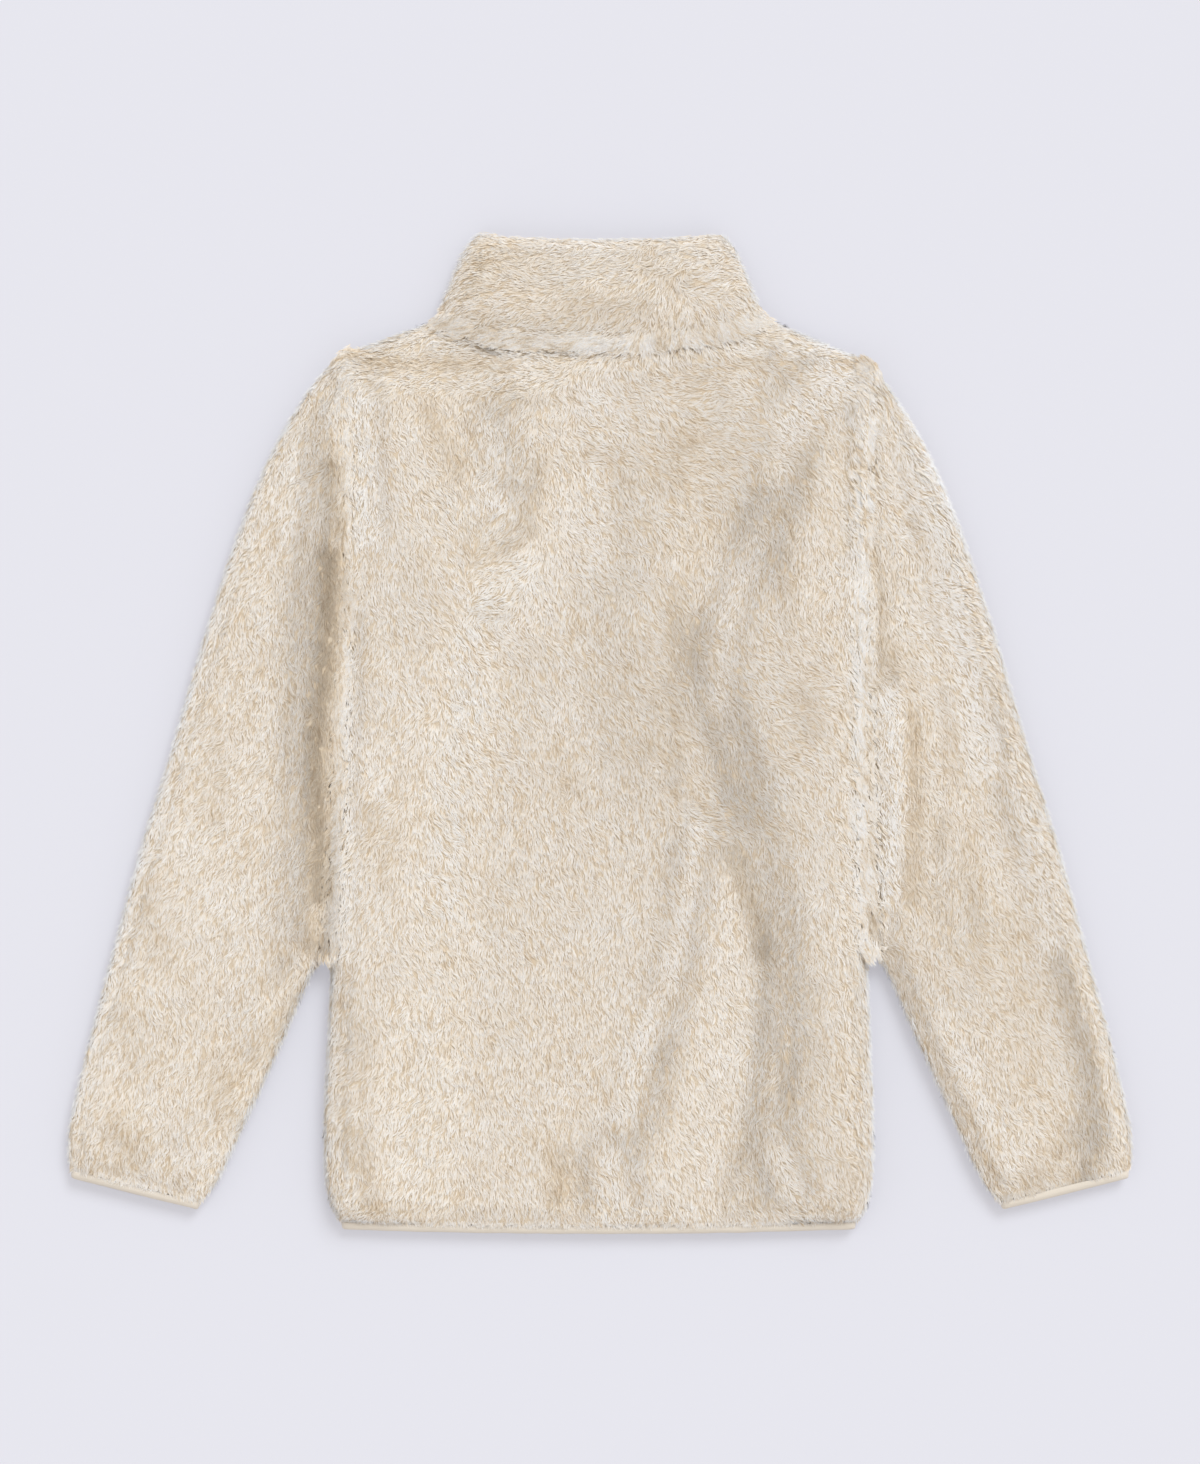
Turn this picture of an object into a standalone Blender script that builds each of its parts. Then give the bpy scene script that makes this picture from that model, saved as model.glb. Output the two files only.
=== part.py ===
"""Sherpa fleece pullover, laid flat with its back up.

Metres. X runs across the garment, Y from hem to collar, Z up from the surface it lies on. Every
piece of fleece is as thick as its knit and its pile together, and the two layers of each tube
lie on each other.
"""

import math
from collections import namedtuple

import bmesh
import bpy

# Sizes shared by the pieces
MIDDLE = 0.0070  # height at which the upper layer lies on the lower one
SEAM = 0.0003  # space between two pieces along a seam
BUTT = 0.0004  # space between the body and what is sewn to its armholes and neck
SLIT = 0.0006  # space between the two layers of a tube
SLIT_MOST = 0.0032  # the same under the highest fold
LIFT = 0.35  # share of a fold's rise that lifts the inside of its layer too
ALLOWANCE = 0.0090  # width of a layer's edge with its seam allowance turned in
EDGE_FACE = 0.0040  # width of the face where two layers meet at a rolled edge
UNDER_ROLL = 0.0060  # radius with which a lower layer turns up at an edge

# Body
BODY_HEIGHT = 0.0150
SIDE_ROLL = 0.0120
SHOULDER_ROLL = 0.0130
HEM_HEIGHT = 0.0120
HEM_ROLL = 0.0090
HEM_END = -0.3044  # the pile ends here at the two side seams
HEM_BELLY = 0.0028  # and this much lower in the middle
NECK_HALF = 0.1056
NECK_LEFT = 0.2575
NECK_RIGHT = 0.2588
NECK_MIDDLE = 0.2419
NECK_GROOVE = 0.0025
UNDERARM = 0.0838
SLEEVE_LEAVES = -0.1350  # above this the sleeve lies against the side of the body
SHOULDER_LEFT = 0.2375
SHOULDER_RIGHT = 0.2325

# Side edges of the body, from the hem up to the shoulder
BodyRow = namedtuple("BodyRow", "y left right")
BODY_ROWS = (
    BodyRow(HEM_END, -0.1631, 0.1619),
    BodyRow(-0.2994, -0.1667, 0.1655),
    BodyRow(-0.2913, -0.1702, 0.1688),
    BodyRow(-0.2725, -0.1722, 0.1709),
    BodyRow(-0.2350, -0.1722, 0.1707),
    BodyRow(-0.1913, -0.1700, 0.1688),
    BodyRow(SLEEVE_LEAVES, -0.1669, 0.1663),
    BodyRow(UNDERARM, -0.1594, 0.1638),
    BodyRow(0.2360, -0.1594, 0.1675),
)

# Sections of a sleeve from its armhole to its cuff, for the side with positive X. Each runs from
# the outer edge to the inner edge, is "crown" high and slopes down over "inner_roll".
SleeveRow = namedtuple("SleeveRow", "outer_x outer_y inner_x inner_y crown inner_roll")
SLEEVE_ROWS = (
    SleeveRow(0.1640, 0.2345, 0.1630, 0.0838, 0.0185, 0.013),
    SleeveRow(0.1762, 0.2228, 0.1640, 0.0588, 0.0185, 0.017),
    SleeveRow(0.2016, 0.1838, 0.1650, 0.0275, 0.0180, 0.021),
    SleeveRow(0.2234, 0.1338, 0.1655, -0.0069, 0.0175, 0.022),
    SleeveRow(0.2403, 0.0838, 0.1660, -0.0413, 0.0175, 0.022),
    SleeveRow(0.2556, 0.0338, 0.1665, -0.0725, 0.0170, 0.022),
    SleeveRow(0.2700, -0.0163, 0.1668, -0.1038, 0.0170, 0.022),
    SleeveRow(0.2859, -0.0663, 0.1672, -0.1330, 0.0170, 0.019),
    SleeveRow(0.2994, -0.1163, 0.1794, -0.1488, 0.0165, 0.015),
    SleeveRow(0.3128, -0.1663, 0.1950, -0.1850, 0.0165, 0.012),
    SleeveRow(0.3234, -0.2069, 0.2138, -0.2256, 0.0160, 0.011),
    SleeveRow(0.3313, -0.2413, 0.2288, -0.2588, 0.0155, 0.011),
    SleeveRow(0.3330, -0.2610, 0.2385, -0.2790, 0.0145, 0.010),
    SleeveRow(0.3316, -0.2720, 0.2485, -0.2928, 0.0115, 0.009),
)
SLEEVE_STEPS = 2  # sections made for each row
SLEEVE_ROLL = 0.0110

# Sections of the collar from its seam to its folded top edge: half its width, the height of its
# ends and of its middle on the surface, and how high it stands above the surface.
CollarRow = namedtuple("CollarRow", "half ends middle height")
COLLAR_ROWS = (
    CollarRow(0.1040, 0.2595, 0.2425, 0.0165),
    CollarRow(0.1018, 0.2640, 0.2500, 0.0190),
    CollarRow(0.0985, 0.2720, 0.2610, 0.0200),
    CollarRow(0.0945, 0.2815, 0.2730, 0.0200),
    CollarRow(0.0908, 0.2905, 0.2850, 0.0195),
    CollarRow(0.0872, 0.2990, 0.2950, 0.0185),
    CollarRow(0.0835, 0.3055, 0.3020, 0.0175),
    CollarRow(0.0795, 0.3100, 0.3065, 0.0155),
    CollarRow(0.0765, 0.3125, 0.3090, 0.0120),
)
COLLAR_ROLL = 0.0110

# Bindings
BINDING_WIDTH = 0.0053
BINDING_HEIGHT = 0.0108
BINDING_LIFT = 0.0010  # its underside stays clear of the surface
BINDING_INSET = 0.0016  # how far its ends stay inside the edges of the pile
BINDING_ROLL = 0.0040

# Sections of a binding from its seam to its free edge: share of its width, what it has lost in
# height on each face, and at each end.
BindingRow = namedtuple("BindingRow", "reach thinner shorter")
BINDING_ROWS = (
    BindingRow(0.06, 0.0000, 0.0000),
    BindingRow(0.55, 0.0000, 0.0000),
    BindingRow(0.86, 0.0009, 0.0004),
    BindingRow(1.00, 0.0024, 0.0014),
)

# Folds in an upper layer. "rise" is positive for a ridge and negative for a trough, "path" is the
# line it follows, and "left" and "right" are how far it fades out to the two sides of that line.
Fold = namedtuple("Fold", "rise left right path")
BACK_FOLDS = (
    # the two sides lie higher than the middle
    Fold(0.0090, 0.052, 0.220, (
        (-0.138, 0.210), (-0.134, 0.180), (-0.121, 0.140), (-0.103, 0.095), (-0.104, 0.050),
        (-0.113, 0.000), (-0.118, -0.050), (-0.122, -0.100), (-0.126, -0.150), (-0.134, -0.200),
        (-0.138, -0.250), (-0.142, -0.290),
    )),
    Fold(0.0105, 0.250, 0.042, (
        (0.158, 0.215), (0.146, 0.180), (0.128, 0.135), (0.110, 0.090), (0.090, 0.050),
        (0.096, 0.015), (0.111, -0.027), (0.122, -0.069), (0.131, -0.111), (0.131, -0.200),
        (0.127, -0.250), (0.138, -0.286),
    )),
    Fold(0.0060, 0.044, 0.040, (
        (0.076, -0.075), (0.071, -0.130), (0.063, -0.163), (0.054, -0.204), (0.042, -0.240),
        (0.030, -0.280),
    )),
    Fold(0.0045, 0.038, 0.034, ((-0.060, 0.090), (-0.047, 0.125), (-0.040, 0.160), (-0.045, 0.190))),
    Fold(0.0020, 0.050, 0.050, ((0.020, 0.190), (0.035, 0.120), (0.030, 0.000), (0.040, -0.030))),
    Fold(-0.0045, 0.015, 0.015, ((-0.159, 0.226), (-0.125, 0.230), (-0.096, 0.232), (-0.070, 0.234))),
    Fold(-0.0045, 0.015, 0.015, ((0.095, 0.234), (0.125, 0.232), (0.162, 0.223))),
    Fold(-0.0040, 0.018, 0.018, ((-0.015, -0.266), (-0.015, -0.288))),
    Fold(-0.0030, 0.012, 0.016, ((-0.147, 0.215), (-0.145, 0.170), (-0.147, 0.120))),
    Fold(-0.0035, 0.012, 0.016, ((0.153, 0.200), (0.155, 0.110))),
)
SLEEVE_LEFT_FOLDS = (
    Fold(0.0060, 0.030, 0.040, ((-0.160, 0.190), (-0.162, 0.100), (-0.166, 0.000), (-0.170, -0.120))),
    Fold(-0.0025, 0.018, 0.018, ((-0.226, -0.204), (-0.240, -0.180))),
    Fold(-0.0022, 0.020, 0.020, ((-0.294, -0.262), (-0.270, -0.250))),
)
SLEEVE_RIGHT_FOLDS = (
    Fold(0.0060, 0.022, 0.022, ((0.166, 0.205), (0.168, 0.140), (0.170, 0.080))),
    Fold(-0.0042, 0.021, 0.050, (
        (0.180, 0.165), (0.2135, 0.075), (0.244, -0.025), (0.274, -0.125), (0.297, -0.215),
        (0.300, -0.255),
    )),
    Fold(0.0030, 0.016, 0.016, ((0.183, 0.020), (0.187, -0.080))),
    Fold(-0.0030, 0.022, 0.022, ((0.206, -0.090), (0.226, -0.115))),
)
COLLAR_FOLDS = (
    Fold(-0.0024, 0.022, 0.022, ((-0.060, 0.297), (-0.030, 0.290))),
    Fold(0.0018, 0.030, 0.030, ((-0.060, 0.270), (0.050, 0.268))),
)

FLEECE_COLOUR = (0.74, 0.66, 0.56, 1.0)
BINDING_COLOUR = (0.72, 0.62, 0.53, 1.0)

# Places of the points round a rolled edge, as shares of its radius
TOP_ROLL_STEPS = (0.0, 0.134, 0.5, 1.0)
LOW_ROLL_STEPS = (0.0, 0.3, 1.0)


def lerp(a, b, t):
    return a + (b - a) * t


def smooth(low, high, value):
    """Rises from 0 at low to 1 at high without a corner."""
    t = min(1.0, max(0.0, (value - low) / (high - low)))
    return t * t * (3.0 - 2.0 * t)


def quarter(distance, radius):
    """Height of a quarter round this far in from its edge, as a share of its full height."""
    if distance >= radius:
        return 1.0
    return math.sqrt(max(0.0, 1.0 - (1.0 - distance / radius) ** 2))


def rolled(share, distance, radius):
    """The same for an edge that is only partly rolled: with share 0 it keeps its full height."""
    return 1.0 - share * (1.0 - quarter(distance, radius))


def spline(values, position):
    """Smooth curve through evenly spaced values."""
    index = min(int(position), len(values) - 2)
    t = position - index
    b, c = values[index], values[index + 1]
    a = values[index - 1] if index > 0 else 2.0 * b - c
    d = values[index + 2] if index + 2 < len(values) else 2.0 * c - b
    return b + 0.5 * t * (c - a + t * (2 * a - 5 * b + 4 * c - d + t * (3 * (b - c) + d - a)))


def beside_path(x, y, path):
    """Distance to the nearest point of a line through several points, and whether it is on the
    left of that line."""
    nearest, on_left = math.inf, True
    for (ax, ay), (bx, by) in zip(path, path[1:]):
        dx, dy = bx - ax, by - ay
        t = min(1.0, max(0.0, ((x - ax) * dx + (y - ay) * dy) / (dx * dx + dy * dy)))
        ex, ey = x - ax - t * dx, y - ay - t * dy
        if math.hypot(ex, ey) < nearest:
            nearest, on_left = math.hypot(ex, ey), dx * ey > dy * ex
    return nearest, on_left


def fold_rise(folds, x, y):
    """Sum of the folds at a point, each fading out to its sides."""
    total = 0.0
    for fold in folds:
        away, on_left = beside_path(x, y, fold.path)
        width = fold.left if on_left else fold.right
        if away < width:
            total += fold.rise * (0.5 + 0.5 * math.cos(math.pi * away / width))
    return total


def slit(rise):
    """Space between the two layers where the upper one rises this much."""
    return min(SLIT_MOST, SLIT + LIFT * max(0.0, rise))


def side(y, column):
    """X of a side edge of the body."""
    y = min(max(y, BODY_ROWS[0].y), BODY_ROWS[-1].y)
    for below, above in zip(BODY_ROWS, BODY_ROWS[1:]):
        if y <= above.y:
            break
    return lerp(getattr(below, column), getattr(above, column), (y - below.y) / (above.y - below.y))


def from_sides(x, y):
    """Distance to the nearer side edge of the body."""
    return min(x - side(y, "left"), side(y, "right") - x)


def hem_line(x):
    """Y where the pile of the body ends above the hem binding."""
    return HEM_END - HEM_BELLY * (1.0 - (x / BODY_ROWS[0].right) ** 2)


def neck_line(x):
    """Y of the neck seam, between the two ends of the collar."""
    t = x / NECK_HALF
    return lerp(NECK_MIDDLE, lerp(NECK_LEFT, NECK_RIGHT, 0.5 + 0.5 * t), abs(t) ** 3)


def top_line(x):
    """Y of the upper end of the body: shoulder, neck seam, shoulder."""
    if abs(x) <= NECK_HALF:
        return neck_line(x)
    if x < 0.0:
        return lerp(NECK_LEFT, SHOULDER_LEFT, (-x - NECK_HALF) / (-BODY_ROWS[-1].left - NECK_HALF))
    return lerp(NECK_RIGHT, SHOULDER_RIGHT, (x - NECK_HALF) / (BODY_ROWS[-1].right - NECK_HALF))


def body_edges(x, y):
    """How far the side and the end of the body are rolled here. They are butt seams, 0, at the
    armholes and at the neck, and rolled, 1, at the sides and the shoulders."""
    rolled_side = 1.0 - smooth(UNDERARM - 0.030, UNDERARM, y)
    rolled_end = smooth(NECK_HALF - 0.010, NECK_HALF + 0.004, abs(x))
    return rolled_side, rolled_end


def body_columns(roll_steps, roll, counts):
    """Columns of a body panel from left to right, with one at each end of the neck seam. Each is
    ("left", distance), ("between", share) or ("right", distance)."""
    left, right = BODY_ROWS[-1].left + SIDE_ROLL, BODY_ROWS[-1].right - SIDE_ROLL
    stops = (0.0, (-NECK_HALF - left) / (right - left), (NECK_HALF - left) / (right - left), 1.0)
    edge = [step * roll for step in roll_steps if step * roll < SIDE_ROLL]
    columns = [("left", distance) for distance in edge]
    for start, stop, count in zip(stops, stops[1:], counts):
        columns += [("between", lerp(start, stop, step / count)) for step in range(count)]
    columns.append(("between", 1.0))
    return columns + [("right", distance) for distance in reversed(edge)]


def body_rows(count):
    """Rows of a body panel from hem to neck, each ("hem", distance), ("between", share) or
    ("top", distance)."""
    rows = [("hem", 0.0), ("hem", 0.28 * HEM_ROLL)]
    rows += [("between", step / count) for step in range(count + 1)]
    return rows + [("top", step * SHOULDER_ROLL) for step in reversed(TOP_ROLL_STEPS[:-1])]


def body_place(column, row):
    """Where a column and a row of a body panel cross."""
    x = y = 0.0
    for _ in range(6):
        low, high = hem_line(x), top_line(x)
        y = {
            "hem": low + row[1],
            "between": lerp(low + HEM_ROLL, high - SHOULDER_ROLL, row[1]),
            "top": high - row[1],
        }[row[0]]
        left, right = side(y, "left"), side(y, "right")
        x = {
            "left": left + column[1],
            "between": lerp(left + SIDE_ROLL, right - SIDE_ROLL, column[1]),
            "right": right - column[1],
        }[column[0]]
    return x, y


def inside_place(x, y):
    """The same place on the inside of its layer, which stays back from a rolled edge."""
    rolled_side, rolled_end = body_edges(x, y)
    left, right = side(y, "left"), side(y, "right")
    back = EDGE_FACE * rolled_side
    near_top = max(0.0, 1.0 - (top_line(x) - y) / SHOULDER_ROLL)
    return lerp(left + back, right - back, (x - left) / (right - left)), y - EDGE_FACE * rolled_end * near_top


def back_height(x, y):
    """Height of the outside of the back."""
    rolled_side, rolled_end = body_edges(x, y)
    from_top = top_line(x) - y
    hem = quarter(y - hem_line(x), 2.0 * HEM_ROLL)
    over = lerp(HEM_HEIGHT, BODY_HEIGHT, hem) + fold_rise(BACK_FOLDS, x, y) * hem - MIDDLE
    over -= NECK_GROOVE * (1.0 - quarter(from_top, SHOULDER_ROLL)) * (1.0 - rolled_end)
    over *= rolled(rolled_side, from_sides(x, y), SIDE_ROLL)
    over *= rolled(rolled_end, from_top, SHOULDER_ROLL)
    return MIDDLE + max(over, 0.5 * SEAM)


def front_height(x, y):
    """Height of the outside of the front: on the surface, and turned up at its edges."""
    rolled_side, rolled_end = body_edges(x, y)
    down = rolled(rolled_side, from_sides(x, y), UNDER_ROLL)
    down *= rolled(rolled_end, top_line(x) - y, UNDER_ROLL)
    return min(MIDDLE * (1.0 - down), MIDDLE - 0.5 * SEAM)


def half_gap(x, y):
    """Half the space between the layers of the body: a seam at the sides and the shoulders."""
    rolled_side, rolled_end = body_edges(x, y)
    free_side = lerp(1.0, smooth(EDGE_FACE, ALLOWANCE, from_sides(x, y)), rolled_side)
    free_end = lerp(1.0, smooth(EDGE_FACE, ALLOWANCE, top_line(x) - y), rolled_end)
    return 0.5 * lerp(SEAM, slit(fold_rise(BACK_FOLDS, x, y)), min(free_side, free_end))


def panel(outer, inner):
    """Closed mesh between two grids of points with the same layout."""
    rows, columns = len(outer), len(outer[0])
    mesh = bmesh.new()
    skins = [[[mesh.verts.new(point) for point in row] for row in grid] for grid in (outer, inner)]
    for skin in skins:
        for low, high in zip(skin, skin[1:]):
            for c in range(columns - 1):
                mesh.faces.new((low[c], low[c + 1], high[c + 1], high[c]))
    border = [(0, c) for c in range(columns - 1)]
    border += [(r, columns - 1) for r in range(rows - 1)]
    border += [(rows - 1, c) for c in range(columns - 1, 0, -1)]
    border += [(r, 0) for r in range(rows - 1, 0, -1)]
    over, under = skins
    for (r, c), (s, d) in zip(border, border[1:] + border[:1]):
        mesh.faces.new((over[r][c], over[s][d], under[s][d], under[r][c]))
    return mesh


def tube(sections):
    """Closed mesh of a wall between its outer and inner rings, open at both ends."""
    mesh = bmesh.new()
    rings = [[[mesh.verts.new(point) for point in ring] for ring in section] for section in sections]
    count = len(rings[0][0])
    loops = [ring[0] for ring in rings] + [ring[1] for ring in reversed(rings)]
    for low, high in zip(loops, loops[1:] + loops[:1]):
        for k in range(count):
            n = (k + 1) % count
            mesh.faces.new((low[k], low[n], high[n], high[k]))
    return mesh


def add_object(name, mesh, colour):
    """Object from a closed mesh, with a material of its own."""
    bmesh.ops.recalc_face_normals(mesh, faces=mesh.faces)
    data = bpy.data.meshes.new(name)
    mesh.to_mesh(data)
    mesh.free()
    bpy.context.scene.collection.objects.link(bpy.data.objects.new(name, data))
    material = bpy.data.materials.new(name)
    material.use_nodes = True
    shader = material.node_tree.nodes["Principled BSDF"]
    shader.inputs["Base Color"].default_value = colour
    shader.inputs["Roughness"].default_value = 0.9
    data.materials.append(material)


def make_body_panel(name, columns, rows, height, inward):
    """Body panel between the outside at "height" and the inside, on the side "inward" of it."""
    outer, inner = [], []
    for row in rows:
        places = [body_place(column, row) for column in columns]
        outer.append([(x, y, height(x, y)) for x, y in places])
        inside = [inside_place(x, y) for x, y in places]
        inner.append([(x, y, MIDDLE - inward * half_gap(x, y)) for x, y in inside])
    add_object(name, panel(outer, inner), FLEECE_COLOUR)


def across_steps(length, rolls, steps, count):
    """Distances across a flattened tube: round one edge, even steps, round the other edge."""
    places = [step * rolls[0] for step in steps[:-1]]
    places += [lerp(rolls[0], length - rolls[1], step / count) for step in range(count + 1)]
    return places + [length - step * rolls[1] for step in reversed(steps[:-1])]


def flat_section(start, end, top, low, rolls, folds, counts):
    """Outer and inner ring of a flattened tube, whose section runs from start to end. "top" and
    "low" are the heights of its two faces, and "rolls" the radii at its ends."""
    length = math.dist(start, end)
    edge = min(ALLOWANCE, 0.2 * length)
    outer, inner = [], []

    def add(distance, height, half):
        t, held = distance / length, lerp(edge, length - edge, distance / length) / length
        outer.append((lerp(start[0], end[0], t), lerp(start[1], end[1], t), height))
        inner.append((lerp(start[0], end[0], held), lerp(start[1], end[1], held), MIDDLE + half))

    for distance in across_steps(length, rolls, TOP_ROLL_STEPS, counts[0]):
        t = distance / length
        rise = fold_rise(folds, lerp(start[0], end[0], t), lerp(start[1], end[1], t))
        share = quarter(distance, rolls[0]) * quarter(length - distance, rolls[1])
        half = 0.5 * lerp(SEAM, slit(rise), smooth(0.0, 0.12, min(t, 1.0 - t)))
        add(distance, MIDDLE + (top + rise - MIDDLE) * share, half if 0.0 < t < 1.0 else 0.0)
    for distance in reversed(across_steps(length, (UNDER_ROLL, UNDER_ROLL), LOW_ROLL_STEPS, counts[1])[1:-1]):
        share = quarter(distance, UNDER_ROLL) * quarter(length - distance, UNDER_ROLL)
        add(distance, lerp(MIDDLE, low, share), -0.5 * SLIT)
    return outer, inner


def make_sleeve(name, sign, folds):
    """Sleeve whose inner edge stays clear of the side of the body."""
    column, shoulder = ("right", SHOULDER_RIGHT) if sign > 0 else ("left", SHOULDER_LEFT)
    sections = []
    for step in range(SLEEVE_STEPS * (len(SLEEVE_ROWS) - 1) + 1):
        values = [spline(column_values, step / SLEEVE_STEPS) for column_values in zip(*SLEEVE_ROWS)]
        row = SleeveRow(*values)
        clear = side(row.inner_y, column) + sign * BUTT
        reach = abs(clear) if row.inner_y >= SLEEVE_LEAVES else max(abs(clear), row.inner_x)
        outer = (sign * row.outer_x, row.outer_y)
        if step == 0:
            outer = (side(shoulder, column) + sign * BUTT, shoulder)
        rolls = (SLEEVE_ROLL, row.inner_roll)
        sections.append(
            flat_section(outer, (sign * reach, row.inner_y), row.crown, 0.0, rolls, folds, (10, 5))
        )
    add_object(name, tube(sections), FLEECE_COLOUR)


def make_collar():
    """Collar, bent to the neck seam, with its top edge rounded where the fleece folds over."""
    sections = []
    for row in COLLAR_ROWS:
        flat = flat_section(
            (-row.half, 0.0), (row.half, 0.0), row.height, 0.0, (COLLAR_ROLL, COLLAR_ROLL), (), (14, 14)
        )
        outer, inner = [
            [(x, lerp(row.middle, row.ends, (abs(x) / row.half) ** 3), z) for x, _, z in ring]
            for ring in flat
        ]
        if row is COLLAR_ROWS[0]:
            outer, inner = [[(x, neck_line(x) + BUTT, z) for x, _, z in ring] for ring in (outer, inner)]
        outer = [
            (x, y, z + fold_rise(COLLAR_FOLDS, x, y) * smooth(MIDDLE, 2.0 * MIDDLE, z)) for x, y, z in outer
        ]
        sections.append((outer, inner))
    add_object("collar", tube(sections), FLEECE_COLOUR)


def make_binding(name, start, end, belly, counts):
    """Binding sewn on below the line from start to end, which bulges by "belly"."""
    length = math.dist(start, end)
    along = ((end[0] - start[0]) / length, (end[1] - start[1]) / length)
    down = (along[1], -along[0]) if along[0] > 0.0 else (-along[1], along[0])
    sections = []
    for row in BINDING_ROWS:
        inset, travel = BINDING_INSET + row.shorter, row.reach * BINDING_WIDTH
        a = [start[k] + along[k] * inset + down[k] * travel for k in range(2)]
        b = [end[k] - along[k] * inset + down[k] * travel for k in range(2)]
        top, low = BINDING_HEIGHT - row.thinner, BINDING_LIFT + row.thinner
        flat = flat_section(a, b, top, low, (BINDING_ROLL, BINDING_ROLL), (), counts)
        section = []
        for ring in flat:
            shares = [2.0 * math.dist((x, y), a) / math.dist(a, b) - 1.0 for x, y, _ in ring]
            bulges = [belly * (1.0 - share * share) for share in shares]
            section.append(
                [(x + down[0] * out, y + down[1] * out, z) for (x, y, z), out in zip(ring, bulges)]
            )
        sections.append(section)
    add_object(name, tube(sections), BINDING_COLOUR)


def main():
    for obj in list(bpy.data.objects):
        bpy.data.objects.remove(obj)
    make_body_panel(
        "back", body_columns(TOP_ROLL_STEPS, SIDE_ROLL, (5, 24, 5)), body_rows(36), back_height, -1.0
    )
    make_body_panel(
        "front", body_columns(LOW_ROLL_STEPS, UNDER_ROLL, (2, 15, 2)), body_rows(12), front_height, 1.0
    )
    make_sleeve("sleeve_left", -1.0, SLEEVE_LEFT_FOLDS)
    make_sleeve("sleeve_right", 1.0, SLEEVE_RIGHT_FOLDS)
    make_collar()
    hem = BODY_ROWS[0]
    make_binding("hem_binding", (hem.left, hem.y), (hem.right, hem.y), HEM_BELLY, (14, 10))
    cuff = SLEEVE_ROWS[-1]
    for name, sign in (("cuff_binding_left", -1.0), ("cuff_binding_right", 1.0)):
        outer = (sign * cuff.outer_x, cuff.outer_y)
        make_binding(name, outer, (sign * cuff.inner_x, cuff.inner_y), 0.0, (6, 4))


main()
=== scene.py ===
"""Finished surfaces of a sherpa fleece pullover laid flat: knit cloth, pile and bindings."""

import math

import bmesh
import bpy
import numpy as np
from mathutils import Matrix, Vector


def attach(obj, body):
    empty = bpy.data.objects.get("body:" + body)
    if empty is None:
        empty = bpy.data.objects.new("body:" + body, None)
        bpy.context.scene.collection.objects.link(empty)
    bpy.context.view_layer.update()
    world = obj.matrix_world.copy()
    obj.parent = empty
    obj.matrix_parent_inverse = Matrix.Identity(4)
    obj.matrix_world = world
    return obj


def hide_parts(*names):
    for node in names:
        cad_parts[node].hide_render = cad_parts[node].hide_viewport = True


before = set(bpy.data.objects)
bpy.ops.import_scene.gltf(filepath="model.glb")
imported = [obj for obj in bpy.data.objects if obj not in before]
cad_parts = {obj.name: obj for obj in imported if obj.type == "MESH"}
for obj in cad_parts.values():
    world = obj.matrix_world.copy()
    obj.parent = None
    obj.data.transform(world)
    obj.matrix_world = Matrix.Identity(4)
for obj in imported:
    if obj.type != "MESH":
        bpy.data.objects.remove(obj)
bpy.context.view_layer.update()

bl_info = {
    "name": "Sherpa Fleece Pullover",
    "version": (1, 0, 0),
    "blender": (4, 5, 0),
    "location": "View3D > Sidebar > Pullover",
    "description": "Knit cloth, sherpa pile and bindings of a pullover laid flat",
    "category": "Object",
}

MIDDLE = 0.0070  # height at which the upper and the lower layer of the garment meet
HEM_TO_NECK = (-0.307, 0.259)
LOWEST_SEAM = -0.2  # the armholes and the neck are above this, the hem and the cuffs below
SHOULDERS = 0.22  # the seams of the shoulders and the neck are above this
OFF_FLOOR = 0.0002  # no cloth or pile comes nearer to the floor than this
SEAM_OVERLAP = 0.00017  # how far each surface is widened, so that seams close under the pile

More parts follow.
